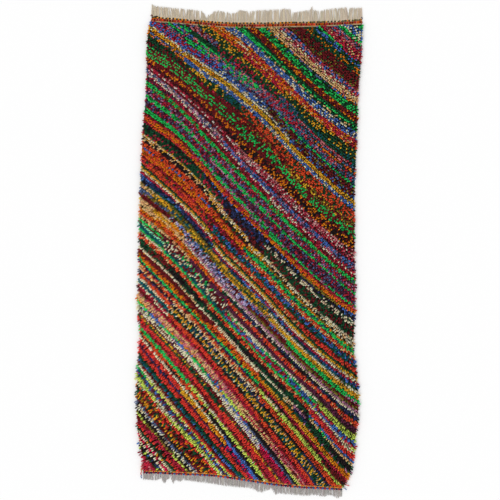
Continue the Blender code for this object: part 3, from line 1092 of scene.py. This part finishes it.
def makeFibreGrain():
    # fine hairs that run along a yarn
    tree, given, out = newGroup(
        "fibreGrain",
        (("Run", "NodeSocketVector", None), ("Hairs", "NodeSocketFloat", 9.0), ("Stretch", "NodeSocketFloat", 0.16)),
        (("Shade", "NodeSocketFloat"), ("Height", "NodeSocketFloat")),
    )
    across = addNode(tree, "ShaderNodeCombineXYZ", X=given.outputs["Hairs"], Y=given.outputs["Stretch"])
    scaled = addNode(tree, "ShaderNodeVectorMath", {"operation": "MULTIPLY"}, _0=given.outputs["Run"], _1=across.outputs[0])
    noise = addNode(tree, "ShaderNodeTexNoise", {"noise_dimensions": "2D"}, Vector=scaled.outputs[0], Scale=1.0, Detail=3.0, Roughness=0.6)
    spread = addNode(tree, "ShaderNodeMapRange", Value=noise.outputs[0], _1=0.3, _2=0.7, _3=0.0, _4=1.0)
    tree.links.new(spread.outputs[0], out.inputs["Shade"])
    tree.links.new(noise.outputs[0], out.inputs["Height"])
    return tree


def makePlyTwist():
    # the slanting hollows between a yarn's plies, as relief and as a mask for painted shade
    tree, given, out = newGroup(
        "plyTwist",
        (("Run", "NodeSocketVector", None), ("Plies", "NodeSocketFloat", 2.0), ("Pitch", "NodeSocketFloat", 9.0)),
        (("HollowShade", "NodeSocketFloat"), ("Height", "NodeSocketFloat")),
    )
    parts = addNode(tree, "ShaderNodeSeparateXYZ", Vector=given.outputs["Run"])
    turns = addNode(tree, "ShaderNodeMath", {"operation": "DIVIDE"}, _0=parts.outputs[1], _1=given.outputs["Pitch"])
    around = addNode(tree, "ShaderNodeMath", {"operation": "ADD"}, _0=parts.outputs[0], _1=turns.outputs[0])
    phase = addNode(tree, "ShaderNodeMath", {"operation": "MULTIPLY"}, _0=around.outputs[0], _1=given.outputs["Plies"])
    angle = addNode(tree, "ShaderNodeMath", {"operation": "MULTIPLY"}, _0=phase.outputs[0], _1=2 * math.pi)
    wave = addNode(tree, "ShaderNodeMath", {"operation": "COSINE"}, _0=angle.outputs[0])
    height = addNode(tree, "ShaderNodeMapRange", Value=wave.outputs[0], _1=-1.0, _2=1.0, _3=0.0, _4=1.0)
    hollowShade = addNode(tree, "ShaderNodeMath", {"operation": "POWER"}, _0=height.outputs[0], _1=3.0)
    tree.links.new(hollowShade.outputs[0], out.inputs["HollowShade"])
    tree.links.new(height.outputs[0], out.inputs["Height"])
    return tree


def makeYarnWool(name, grainGroup, twistGroup, look):
    # dyed wool yarn: its dye and a painted shade depth come with the mesh; the colour is painted darker towards the
    # yarn's root and in the hollows between its plies, as shade
    material = bpy.data.materials.new(name)
    material.use_nodes = True
    tree = material.node_tree
    shader = tree.nodes["Principled BSDF"]
    dyeAndShade = addNode(tree, "ShaderNodeAttribute", {"attribute_name": "dyeAndShade"})
    shadeDepth = addNode(tree, "ShaderNodeAttribute", {"attribute_name": "shadeDepth"})
    run = addNode(tree, "ShaderNodeUVMap", {"uv_map": "yarnRun"})
    grain = addNode(tree, "ShaderNodeGroup", {"node_tree": grainGroup}, Run=run.outputs[0], Hairs=look["hairs"], Stretch=look["stretch"])
    twist = addNode(tree, "ShaderNodeGroup", {"node_tree": twistGroup}, Run=run.outputs[0], Plies=look["plies"], Pitch=look["pitch"])
    lift = addNode(tree, "ShaderNodeMapRange", Value=grain.outputs["Shade"], _1=0.0, _2=1.0, _3=look["dark"], _4=look["light"])
    # painted shade in the hollows between plies
    hollowShade = addNode(tree, "ShaderNodeMapRange", Value=twist.outputs["HollowShade"], _1=0.0, _2=1.0, _3=1.0, _4=look["hollowShade"])
    both = addNode(tree, "ShaderNodeMath", {"operation": "MULTIPLY"}, _0=lift.outputs[0], _1=hollowShade.outputs[0])
    # painted shade: the yarn darkens towards its root, as deep among the tufts
    rise = addNode(tree, "ShaderNodeMapRange", Value=shadeDepth.outputs["Fac"], _1=0.0, _2=1.0, _3=look["root"], _4=1.0)
    shade = addNode(tree, "ShaderNodeMath", {"operation": "MULTIPLY"}, _0=both.outputs[0], _1=rise.outputs[0])
    colour = addNode(tree, "ShaderNodeVectorMath", {"operation": "SCALE"}, _0=dyeAndShade.outputs["Color"], Scale=shade.outputs[0])
    tree.links.new(colour.outputs[0], shader.inputs["Base Color"])
    rough = addNode(tree, "ShaderNodeMapRange", Value=grain.outputs["Shade"], _1=0.0, _2=1.0, _3=0.92, _4=0.78)
    tree.links.new(rough.outputs[0], shader.inputs["Roughness"])
    relief = addNode(tree, "ShaderNodeMath", {"operation": "MULTIPLY_ADD"}, _0=twist.outputs["Height"], _1=-0.8, _2=grain.outputs["Height"])
    bump = addNode(tree, "ShaderNodeBump", Strength=look["bump"], Distance=0.0006, Height=relief.outputs[0])
    tree.links.new(bump.outputs[0], shader.inputs["Normal"])
    shader.inputs["Sheen Weight"].default_value = look["sheen"]
    shader.inputs["Sheen Roughness"].default_value = 0.5
    shader.inputs["Specular IOR Level"].default_value = 0.06
    return material


# each wool's root value paints the yarn darker towards its root, and its hollow value paints the hollows between plies
# darker, both as painted shade
yarnLooks = {
    "pileWool": {"hairs": 7.0, "stretch": 0.14, "plies": 2.0, "pitch": 16.0, "dark": 0.74, "light": 1.16, "hollowShade": 0.72, "root": 0.12, "bump": 0.5, "sheen": 0.04},
    "courseWool": {"hairs": 10.0, "stretch": 0.12, "plies": 2.0, "pitch": 7.0, "dark": 0.78, "light": 1.14, "hollowShade": 0.6, "root": 0.5, "bump": 0.6, "sheen": 0.04},
    "warpWool": {"hairs": 6.0, "stretch": 0.1, "plies": 2.0, "pitch": 5.0, "dark": 0.88, "light": 1.08, "hollowShade": 0.76, "root": 0.74, "bump": 0.5, "sheen": 0.04},
}


def makePile(material):
    chance = np.random.default_rng(pile["seed"])
    rows = np.arange(*pile["rows"], pile["rowStep"])
    diagonal, column = [part.ravel() for part in np.meshgrid(np.arange(len(rows)), np.arange(pile["columns"]))]
    row = rows[diagonal]
    across = (column + 0.5) / pile["columns"]
    foot, head = endY(across, "foot"), endY(across, "head")
    y = (chartMiddleRow - row) * chartStep
    for _ in range(5):
        along = np.clip((y - foot) / (head - foot), 0, 1)
        y = (chartMiddleRow - row - fallAt(row, sideX(along, across))) * chartStep
    inside = (y > foot + pile["endGaps"][0]) & (y < head - pile["endGaps"][1])
    row, diagonal, column, across, y, foot, head = (
        part[inside] for part in (row, diagonal, column, across, y, foot, head)
    )
    along = (y - foot) / (head - foot)
    x = sideX(along, across)
    left, right = sideX(along, 0 * across), sideX(along, 0 * across + 1)
    footGap = y - foot
    count = len(x)
    print("knots:", count)

    # how each tuft leans: longest at the left of the foot half, turned out at the right edge
    low = 1 / (1 + np.exp((y + 0.5 * x) / 190))
    leftward = 1 / (1 + np.exp((x - 60) / 150))
    lean = pile["shortLean"] + (pile["longLean"] - pile["shortLean"]) * low * (0.6 + 0.4 * leftward)
    seen = row + lean * pile["seen"] / chartStep
    loose = 0.12 + 0.4 * np.clip(1 - np.minimum(x - left, right - x) / 30, 0, 1)
    lean = lean * (1 + loose * chance.uniform(-1, 1, count))
    toEdge = np.clip(1 - (right - x) / pile["edgeDepth"], 0, 1)
    angle = pile["leanAngle"] + pile["edgeTurn"] * toEdge * toEdge * (3 - 2 * toEdge)
    angle = np.radians(angle + chance.normal(0, pile["leanChance"], count))
    leanX, leanY = lean * np.cos(angle), lean * np.sin(angle)
    leanY = np.maximum(leanY, np.minimum(2.5 - footGap, 0))
    # both ends of each knot are charted, side by side in their row
    ends = np.concatenate([2 * column, 2 * column + 1])
    picks = chartedDyes(np.tile(seen, 2), np.tile(x, 2), np.tile(diagonal, 2), ends, chance)
    picks = picks.reshape(2, count)

    x = np.clip(x, left + pile["edgeInset"], right - pile["edgeInset"])
    x = x + chance.normal(0, pile["drift"], count) * 0.7
    y = y + chance.normal(0, pile["drift"], count) * 0.7
    sunk = chance.random(count) < pile["shaded"]
    rise = pile["height"] * chance.uniform(0.88, 1.12, count) * np.where(sunk, 0.78, 1)
    rise = rise * (1 - 0.3 * np.clip((lean - 12) / 8, 0, 1))
    rise = rise * (1 - 0.25 * np.clip(1 - (x - left) / 14, 0, 1) - 0.25 * np.clip(1 - (right - x) / 14, 0, 1))

    # painted shade: sunk knots darker, the others a little lighter; long wool is also paler at the left of the foot
    # half
    shadeAndTone = np.where(sunk, pile["sunkShade"], pile["raisedLight"])
    shadeAndTone = shadeAndTone * (1 + low * (pile["footTones"][1] + (pile["footTones"][0] - pile["footTones"][1]) * leftward))
    yarns = {key: [] for key in ("path", "dyeAndShade", "plump", "band")}
    share = np.array(pile["along"])
    for end, sign in enumerate((-1, 1)):
        turn = np.radians(chance.normal(0, 7, count))
        endX = leanX * np.cos(turn) - leanY * np.sin(turn)
        endY2 = leanX * np.sin(turn) + leanY * np.cos(turn)
        size = np.maximum(np.hypot(endX, endY2), 0.5)
        nearX, nearY = -endY2 / size, endX / size
        spread = pile["endSpread"][0] + (pile["endSpread"][1] - pile["endSpread"][0]) * low
        fan = sign * spread[:, None] * (0.55 + 0.55 * share)
        reach = share**1.35 * chance.uniform(0.9, 1.1, count)[:, None]
        px = x[:, None] + endX[:, None] * reach + nearX[:, None] * fan
        py = y[:, None] + endY2[:, None] * reach + nearY[:, None] * fan
        pz = pile["rootHeight"] + rise[:, None] * np.sin(share * 1.75) * chance.uniform(0.93, 1.07, count)[:, None]
        yarns["path"].append(np.stack([px, py, pz], -1) * mm)
        tones = shadeDyes(picks[end], chance, pile["dyeChance"], pile["gain"])
        yarns["dyeAndShade"].append(tones * shadeAndTone[:, None])
        yarns["plump"].append(pile["plump"][0] + (pile["plump"][1] - pile["plump"][0]) * low)
        yarns["band"].append(np.minimum((along * pile["bands"]).astype(int), pile["bands"] - 1))
    path, dyeAndShade, plump, yarnBand = (np.concatenate(part) for part in yarns.values())
    radii = np.array(pile["radii"]) * plump[:, None] * chance.uniform(0.88, 1.12, (len(path), 1)) * mm
    spin = chance.uniform(0, 2 * np.pi, (len(path), 1)) + np.linspace(0, 0.5, 4)

    pieces = []
    for band in range(pile["bands"]):
        here = yarnBand == band
        made = makeYarns(path[here], radii[here], radii[here] * 0.86, 4, spin[here], pile["tipLength"] * mm, False, 5)
        ringDyeAndShade = np.repeat(dyeAndShade[here][:, None], 4, 1)
        # the yarns are painted darker towards the root, as shade deep among the tufts
        shadeDepth = np.tile(share**0.7, (int(here.sum()), 1))
        piece = makePiece(f"pileBand{band + 1}", made, ringDyeAndShade, shadeDepth, material, ["pile_field"])
        pieces.append(piece)
    return pieces


def makeGroundMaterial():
    # knot backs between rows of weft, in the wools of the pile above them; the top side is painted dark as shade under
    # the pile, and the grooves between knot loops are painted darker as shade
    material = bpy.data.materials.new("groundWeave")
    material.use_nodes = True
    tree = material.node_tree
    shader = tree.nodes["Principled BSDF"]
    dyeAndShade = addNode(tree, "ShaderNodeAttribute", {"attribute_name": "dyeAndShade"})
    run = addNode(tree, "ShaderNodeUVMap", {"uv_map": "knotRun"})
    parts = addNode(tree, "ShaderNodeSeparateXYZ", Vector=run.outputs[0])
    noise = addNode(tree, "ShaderNodeTexNoise", {"noise_dimensions": "2D"}, Vector=run.outputs[0], Scale=3.0, Detail=4.0)

    def wave(value, times):
        angle = addNode(tree, "ShaderNodeMath", {"operation": "MULTIPLY"}, _0=value, _1=2 * math.pi * times)
        turned = addNode(tree, "ShaderNodeMath", {"operation": "COSINE"}, _0=angle.outputs[0])
        return addNode(tree, "ShaderNodeMapRange", Value=turned.outputs[0], _1=-1.0, _2=1.0, _3=1.0, _4=0.0).outputs[0]

    rib = wave(parts.outputs[1], 1)
    loops = wave(parts.outputs[0], 2)
    weft = addNode(tree, "ShaderNodeMapRange", Value=rib, _1=0.16, _2=0.3, _3=1.0, _4=0.0)
    # the grooves between knot loops are painted darker, as shade
    knots = addNode(tree, "ShaderNodeMapRange", Value=loops, _1=0.0, _2=0.6, _3=0.35, _4=1.0)
    grain = addNode(tree, "ShaderNodeMapRange", Value=noise.outputs[0], _1=0.3, _2=0.7, _3=0.75, _4=1.15)
    shade = addNode(tree, "ShaderNodeMath", {"operation": "MULTIPLY"}, _0=knots.outputs[0], _1=grain.outputs[0])
    knotColour = addNode(tree, "ShaderNodeVectorMath", {"operation": "SCALE"}, _0=dyeAndShade.outputs["Color"], Scale=shade.outputs[0])
    # the weft on the top side takes the same painted shade
    weftShade = addNode(tree, "ShaderNodeMath", {"operation": "MULTIPLY"}, _0=shade.outputs[0], _1=dyeAndShade.outputs["Alpha"])
    weftColour = addNode(tree, "ShaderNodeVectorMath", {"operation": "SCALE"}, _0=(0.3, 0.22, 0.15), Scale=weftShade.outputs[0])
    mix = addNode(tree, "ShaderNodeMix", {"data_type": "RGBA"}, Factor=weft.outputs[0])
    tree.links.new(knotColour.outputs[0], mix.inputs[6])
    tree.links.new(weftColour.outputs[0], mix.inputs[7])
    tree.links.new(mix.outputs[2], shader.inputs["Base Color"])
    relief = addNode(tree, "ShaderNodeMath", {"operation": "MULTIPLY_ADD"}, _0=loops, _1=rib, _2=noise.outputs[0])
    bump = addNode(tree, "ShaderNodeBump", Strength=0.6, Distance=0.001, Height=relief.outputs[0])
    tree.links.new(bump.outputs[0], shader.inputs["Normal"])
    rough = addNode(tree, "ShaderNodeMapRange", Value=noise.outputs[0], _1=0.0, _2=1.0, _3=0.95, _4=0.82)
    tree.links.new(rough.outputs[0], shader.inputs["Roughness"])
    shader.inputs["Sheen Weight"].default_value = 0.04
    shader.inputs["Specular IOR Level"].default_value = 0.06
    return material


def makeGround(material):
    chance = np.random.default_rng(pile["seed"] + 1)
    columns, rows = ground["columns"], ground["rows"]
    bottomRow, bottomColumn = np.mgrid[0 : 2 * rows + 1, 0 : columns + 1]
    bx, by = fieldPoint(bottomColumn.ravel() / columns, bottomRow.ravel() / (2 * rows))
    dip = np.where(bottomRow.ravel() % 2, ground["under"], ground["dip"])
    dip = np.where((bottomRow.ravel() % (2 * rows)) == 0, ground["under"], dip)
    topRow, topColumn = np.mgrid[0 : rows + 1, 0 : columns + 1]
    tx, ty = fieldPoint(topColumn.ravel() / columns, topRow.ravel() / rows)
    height = ground["top"] + chance.uniform(-0.25, 0.25, len(tx))
    bottom = np.stack([bx, by, dip], -1)
    top = np.stack([tx, ty, height], -1)
    points = np.concatenate([bottom, top]) * mm
    wide = columns + 1
    base = len(bottom)

    def cells(table):
        return np.stack([table[:-1, :-1], table[:-1, 1:], table[1:, 1:], table[1:, :-1]], -1).reshape(-1, 4)

    under = np.arange(base).reshape(-1, wide)
    over = base + np.arange(len(top)).reshape(-1, wide)
    quads = [cells(over), cells(under)[:, ::-1]]
    foot = np.stack([under[0, :-1], under[0, 1:], over[0, 1:], over[0, :-1]], -1)
    head = np.stack([under[-1, 1:], under[-1, :-1], over[-1, :-1], over[-1, 1:]], -1)
    quads += [foot, head]
    left = np.stack([over[:-1, 0], over[1:, 0], under[2::2, 0], under[1::2, 0], under[:-1:2, 0]], -1)
    right = np.stack([over[:-1, -1], over[1:, -1], under[2::2, -1], under[1::2, -1], under[:-1:2, -1]], -1)[:, ::-1]
    mesh = makeMesh("groundWeave", points, [np.concatenate(quads), np.concatenate([left, right])])
    planX, planY = points[:, 0] / mm, points[:, 1] / mm
    threads = np.concatenate([bottomColumn.ravel(), topColumn.ravel()])
    row = chartRow(planX, planY)
    picks = chartedDyes(row, planX, np.round(row / pile["rowStep"]).astype(int), threads, chance)
    shades = shadeDyes(picks, chance, 0.1, 1.0)
    # the top side is painted dark, as shade under the pile; the alpha carries that shade to the weft
    shadeDepth = np.ones((len(shades), 1))
    shadeDepth[base:] = ground["shade"]
    setAttribute(mesh, "dyeAndShade", "FLOAT_COLOR", np.concatenate([shades * shadeDepth, shadeDepth], 1))
    corners = np.zeros(len(mesh.loops), np.int32)
    mesh.loops.foreach_get("vertex_index", corners)
    knots = np.concatenate(
        [
            np.stack([bottomColumn.ravel(), bottomRow.ravel() / 2], -1),
            np.stack([topColumn.ravel(), topRow.ravel()], -1),
        ]
    )
    setMap(mesh, "knotRun", knots[corners])
    return addPiece("groundWeave", mesh, material, ["pile_field"])


def makeHeadWeb(material):
    # rows of plain weft past the last knots
    chance = np.random.default_rng(headWeb["seed"])
    rings = headWeb["waves"] * 4
    across = np.linspace(0.004, 0.996, rings)
    paths = []
    for k in range(headWeb["yarns"]):
        x, y = endPoint(across, "head", headWeb["radius"] * (0.9 + 1.75 * k))
        wave = headWeb["wave"] * np.sin(2 * np.pi * (headWeb["waves"] * across + 0.5 * k))
        z = headWeb["radius"] + 0.5 + wave
        paths.append(np.stack([x, y, z + chance.normal(0, 0.06, rings)], -1))
    paths = np.array(paths) * mm
    radii = np.full(paths.shape[:2], headWeb["radius"] * mm)
    made = makeYarns(paths, radii, radii, 6, np.zeros(paths.shape[:2]), 1.0 * mm, True, 24)
    picks = drawDyes("warp*3+cream+tan", chance, paths.shape[0] * rings)
    ringDyeAndShade = shadeDyes(picks, chance, 0.1, 1.0).reshape(*paths.shape)
    ringDyeAndShade = 0.5 * ringDyeAndShade + 0.5 * np.roll(ringDyeAndShade, 1, 1)
    return makePiece("headWeb", made, ringDyeAndShade, np.ones(paths.shape[:2]), material, ["pile_field"])


def makeSelvedges(material):
    # overcast edge cords, under the pile's long edges
    chance = np.random.default_rng(selvedge["seed"])
    along = np.linspace(0.002, 0.998, selvedge["rings"])
    paths = []
    for across in (0.0, 1.0):
        x, y = fieldPoint(np.full_like(along, across), along)
        x = x + (1 if across == 0 else -1) * selvedge["inset"]
        z = selvedge["radius"] + 0.25 + 0.15 * np.sin(along * 900)
        paths.append(np.stack([x, y, z], -1))
    paths = np.array(paths) * mm
    radii = selvedge["radius"] * mm * (1 + 0.07 * np.sin(np.arange(selvedge["rings"]) * 2.1))
    radii = np.tile(radii, (2, 1))
    made = makeYarns(paths, radii, radii, 6, np.zeros_like(radii), 1.5 * mm, True, 24)
    blocks = np.arange(selvedge["rings"]) // 9
    ringDyeAndShade = []
    for _ in range(2):
        picks = drawDyes("maroon*3+crimson+bottleGreen+navy+rust", chance, blocks[-1] + 1)
        ringDyeAndShade.append(shadeDyes(picks, chance, 0.12, 1.0)[blocks])
    return makePiece("selvedges", made, np.array(ringDyeAndShade), np.ones_like(radii), material, ["pile_field"])


def joinYarns(parts):
    # several sets of yarns as one piece
    start, points, quads, triangles = 0, [], [], []
    for made in parts:
        points.append(made["points"])
        quads.append(made["faces"][0] + start)
        triangles.append(made["faces"][1] + start)
        start += len(made["points"])
    return np.concatenate(points), [np.concatenate(quads), np.concatenate(triangles)]


def makeCourse(name, course, material):
    chance = np.random.default_rng(course["seed"])
    width, height = course["width"], course["height"]
    ends = endPoint(np.array([0.0, 1.0]), course["end"], 0)
    turns = int((ends[0][1] - ends[0][0]) / course["pitch"])

    def coursePoint(across, out, up):
        # a place on the course, from its middle line
        x, y = endPoint(across, course["end"], course["outward"])
        nextX, nextY = endPoint(across + 0.002, course["end"], course["outward"])
        length = np.hypot(nextX - x, nextY - y)
        return np.stack([x - (nextY - y) / length * out, y + (nextX - x) / length * out, up], -1)

    share = np.array([-1.0, -0.86, -0.5, 0.0, 0.5, 0.86, 1.0])
    arch = np.array([0.12, 0.5, 0.88, 1.0, 0.88, 0.5, 0.12])
    parts, tones = [], []
    sway = chance.normal(0, 0.35, turns + 2)
    for place, halfLength, halfThick, top, words in course["wraps"]:
        index = np.arange(turns)
        middle = (index + place + 0.3 + chance.normal(0, 0.03, turns)) / turns
        middle = np.clip(middle, 0.004, 0.996)
        across = middle[:, None] + course["slant"] * share / (ends[0][1] - ends[0][0])
        out = (width / 2 - halfThick) * share + sway[index][:, None]
        up = halfThick + (top - 2 * halfThick) * arch * chance.uniform(0.92, 1.05, (turns, 1))
        paths = coursePoint(across, out, up + 0 * across) * mm
        long = halfLength * mm * chance.uniform(0.9, 1.1, (turns, 1))
        thick = np.array([0.7, 0.9, 1.0, 1.0, 1.0, 0.9, 0.7])
        spin = np.full(paths.shape[:2], np.pi / courseSides)
        parts.append(makeYarns(paths, long * thick, halfThick * mm * thick + 0 * long, courseSides, spin, 0.5 * mm, True, 8))
        picks = drawDyes(words, chance, turns)
        tones.append(np.repeat(shadeDyes(picks, chance, 0.14, pile["courseGain"])[:, None], 7, 1))
    cords = [(0.0, course["core"], 0.4 * width, 0.36 * height)]
    cords += [(offset, words, 1.0, 1.2) for offset, words in course["borders"]]
    rings = turns * 2 + 1
    for offset, words, sideRadius, upRadius in cords:
        across = np.linspace(0.001, 0.999, rings)
        up = upRadius + 0.3 + (0.25 * np.cos(np.arange(rings) * np.pi) if offset else 0)
        paths = coursePoint(across, offset, up + 0 * across)[None] * mm
        radii = np.ones((1, rings)) * mm
        spin = np.full((1, rings), np.pi / courseSides)
        parts.append(makeYarns(paths, radii * sideRadius, radii * upRadius, courseSides, spin, 0.8 * mm, True, 24))
        picks = drawDyes(words, chance, turns + 1)
        tones.append(shadeDyes(picks, chance, 0.14, pile["courseGain"])[np.arange(rings) // 2][None])
    return joinPiece(name, parts, tones, material, course["node"])


def joinPiece(name, parts, tones, material, node):
    points, faces = joinYarns(parts)
    mesh = makeMesh(name, points, faces)
    colours = np.concatenate([spreadToPoints(made, tone) for made, tone in zip(parts, tones)])
    setAttribute(mesh, "dyeAndShade", "FLOAT_COLOR", np.concatenate([colours, np.ones((len(colours), 1))], 1))
    setAttribute(mesh, "shadeDepth", "FLOAT_VECTOR", np.ones((len(colours), 3)))
    quads = [made["faces"][0].size for made in parts]
    grain = [made["grain"][:n] for made, n in zip(parts, quads)] + [made["grain"][n:] for made, n in zip(parts, quads)]
    setMap(mesh, "yarnRun", np.concatenate(grain))
    return addPiece(name, mesh, material, [node])


def partedX(x, partings):
    # where a tip goes when the fringe parts into clumps
    edges = [x[0], *(at for at, _ in partings), x[-1]]
    widths = [0.0, *(width for _, width in partings), 0.0]
    low = np.array([a + w / 2 for a, w in zip(edges[:-1], widths[:-1])])
    high = np.array([b - w / 2 for b, w in zip(edges[1:], widths[1:])])
    i = np.clip(np.searchsorted(edges, x) - 1, 0, len(edges) - 2)
    share = (x - np.array(edges)[i]) / np.diff(edges)[i]
    return low[i] + (high[i] - low[i]) * share


def makeFringe(name, fringe, material):
    chance = np.random.default_rng(fringe["seed"])
    count = fringe["strands"]
    across = (np.arange(count) + 0.5) / count
    x, y = endPoint(across, fringe["end"], fringe["outward"] - 3.5)
    sign = 1 if fringe["end"] == "head" else -1
    reachX, reaches = zip(*fringe["reach"])
    reach = np.interp(x, reachX, reaches) * chance.uniform(0.86, 1.04, count)
    tip = partedX(x, fringe["partings"])
    pitch = (x[-1] - x[0]) / (count - 1)
    clump = np.arange(count) // fringe["clump"]
    centre = (clump + 0.5) * fringe["clump"] - 0.5 - np.arange(count)
    tip = tip + centre * pitch * 0.45 + chance.normal(0, 1.0, count)
    sway = chance.normal(0, 1.6, clump[-1] + 1)[clump] + chance.normal(0, 0.5, count)
    layer = chance.uniform(0, 1, count)
    t = np.linspace(0, 1, 7)
    px = x[:, None] + (tip - x)[:, None] * t**1.3 + (sway[:, None] * np.sin(np.pi * t))
    py = y[:, None] + sign * (3.5 + reach)[:, None] * t
    lift = 0.6 + 2.6 * layer[:, None] * (1 - 0.75 * t**2) + 0.5 * np.sin(t * 7 + sway[:, None])
    pz = fringe["radius"] + np.maximum(lift, 0.05)
    paths = np.stack([px, py, pz], -1) * mm
    taper = np.array([1.0, 1.05, 1.0, 1.0, 0.95, 0.85, 0.6])
    radii = fringe["radius"] * mm * taper * chance.uniform(0.85, 1.15, (count, 1))
    spin = chance.uniform(0, 6, (count, 1)) + np.zeros(7)
    made = makeYarns(paths, radii, radii * 0.85, 5, spin, 2.0 * mm, True, 8)
    picks = np.full(count, dyeNames.index(fringe["wool"]))
    tone = shadeDyes(picks, chance, 0.08, 1.0)
    # strands lying lower in the fringe are painted darker, as shade under the others
    shadeDepth = np.clip(0.55 + 0.45 * layer[:, None] + 0 * t, 0, 1)
    ringDyeAndShade = np.repeat(tone[:, None], 7, 1)
    return makePiece(name, made, ringDyeAndShade, shadeDepth, material, [fringe["node"]])


def makeTails(material):
    chance = np.random.default_rng(9)
    rings = 9
    paths, picks = [], []
    for places, wool in tails["runs"]:
        places = np.array(places)
        keys = np.linspace(0, 1, len(places))
        t = np.linspace(0, 1, rings)
        x = (smoothCurve(keys, places[:, 0], t) - chartMiddleColumn) * chartStep
        y = (chartMiddleRow - smoothCurve(keys, places[:, 1], t)) * chartStep
        z = tails["height"] + 1.2 * np.sin(np.pi * t)
        paths.append(np.stack([x, y, z], -1))
        picks.append(dyeNames.index(wool))
    paths = np.array(paths) * mm
    radii = np.full(paths.shape[:2], tails["radius"] * mm)
    made = makeYarns(paths, radii, radii * 0.8, 6, np.zeros_like(radii), 1.2 * mm, True, rings + 1)
    tones = shadeDyes(np.array(picks), chance, 0.05, 1.1)
    ringDyeAndShade = np.repeat(tones[:, None], rings, 1)
    return makePiece("yarnTails", made, ringDyeAndShade, np.ones_like(radii), material, ["pile_field"])


def makeStudio():
    size = studio["floorSize"]
    mesh = bpy.data.meshes.new("studioFloor")
    corners = [(-size, -size, 0), (size, -size, 0), (size, size, 0), (-size, size, 0)]
    mesh.from_pydata(corners, [], [(0, 1, 2, 3)])
    floor = bpy.data.objects.new("studioFloor", mesh)
    floor.location.z = -studio["floorDrop"]
    material = bpy.data.materials.new("paleFloor")
    material.use_nodes = True
    shader = material.node_tree.nodes["Principled BSDF"]
    shader.inputs["Base Color"].default_value = (*[studio["floor"]] * 3, 1)
    shader.inputs["Roughness"].default_value = 0.9
    shader.inputs["Specular IOR Level"].default_value = 0.0
    mesh.materials.append(material)

    world = bpy.data.worlds.new("softRoom")
    world.use_nodes = True
    sky = world.node_tree.nodes["Background"]
    sky.inputs["Color"].default_value = (1, 1, 1, 1)
    sky.inputs["Strength"].default_value = studio["sky"]
    bpy.context.scene.world = world

    lamp = bpy.data.lights.new("windowLight", "SUN")
    lamp.energy = studio["sun"]
    lamp.angle = math.radians(studio["sunSize"])
    window = bpy.data.objects.new("windowLight", lamp)
    window.rotation_euler = [math.radians(a) for a in studio["sunTurn"]]

    lens = bpy.data.cameras.new("overheadCamera")
    lens.lens = studio["lens"]
    lens.sensor_width = studio["sensor"]
    lens.clip_end = 100
    camera = bpy.data.objects.new("overheadCamera", lens)
    x, y, z = studio["aim"]
    camera.location = (x, y, z + studio["distance"])
    for thing in (floor, window, camera):
        bpy.context.scene.collection.objects.link(thing)
    bpy.context.scene.camera = camera
    bpy.context.scene.view_settings.view_transform = "Standard"


makeStudio()
print("studio ready")

fibreGrain, plyTwist = makeFibreGrain(), makePlyTwist()
wools = {name: makeYarnWool(name, fibreGrain, plyTwist, look) for name, look in yarnLooks.items()}
groundWeave = makeGround(makeGroundMaterial())
print("ground woven:", len(groundWeave.data.polygons), "faces")

dressing = makePile(wools["pileWool"])
print("pile knotted:", sum(len(p.data.polygons) for p in dressing), "faces")
dressing.append(makeHeadWeb(wools["warpWool"]))
dressing.append(makeSelvedges(wools["courseWool"]))
for courseName, course in courses.items():
    dressing.append(makeCourse(courseName, course, wools["courseWool"]))
print("courses twined")
for fringeName, fringe in fringes.items():
    dressing.append(makeFringe(fringeName, fringe, wools["warpWool"]))
dressing.append(makeTails(wools["courseWool"]))
print("fringes and tails laid")

triangles = 0
for piece in [groundWeave, *dressing]:
    sizes = np.zeros(len(piece.data.polygons), np.int32)
    piece.data.polygons.foreach_get("loop_total", sizes)
    print(piece.name, int((sizes - 2).sum()), "triangles")
    triangles += int((sizes - 2).sum())
print("in all", triangles, "triangles")
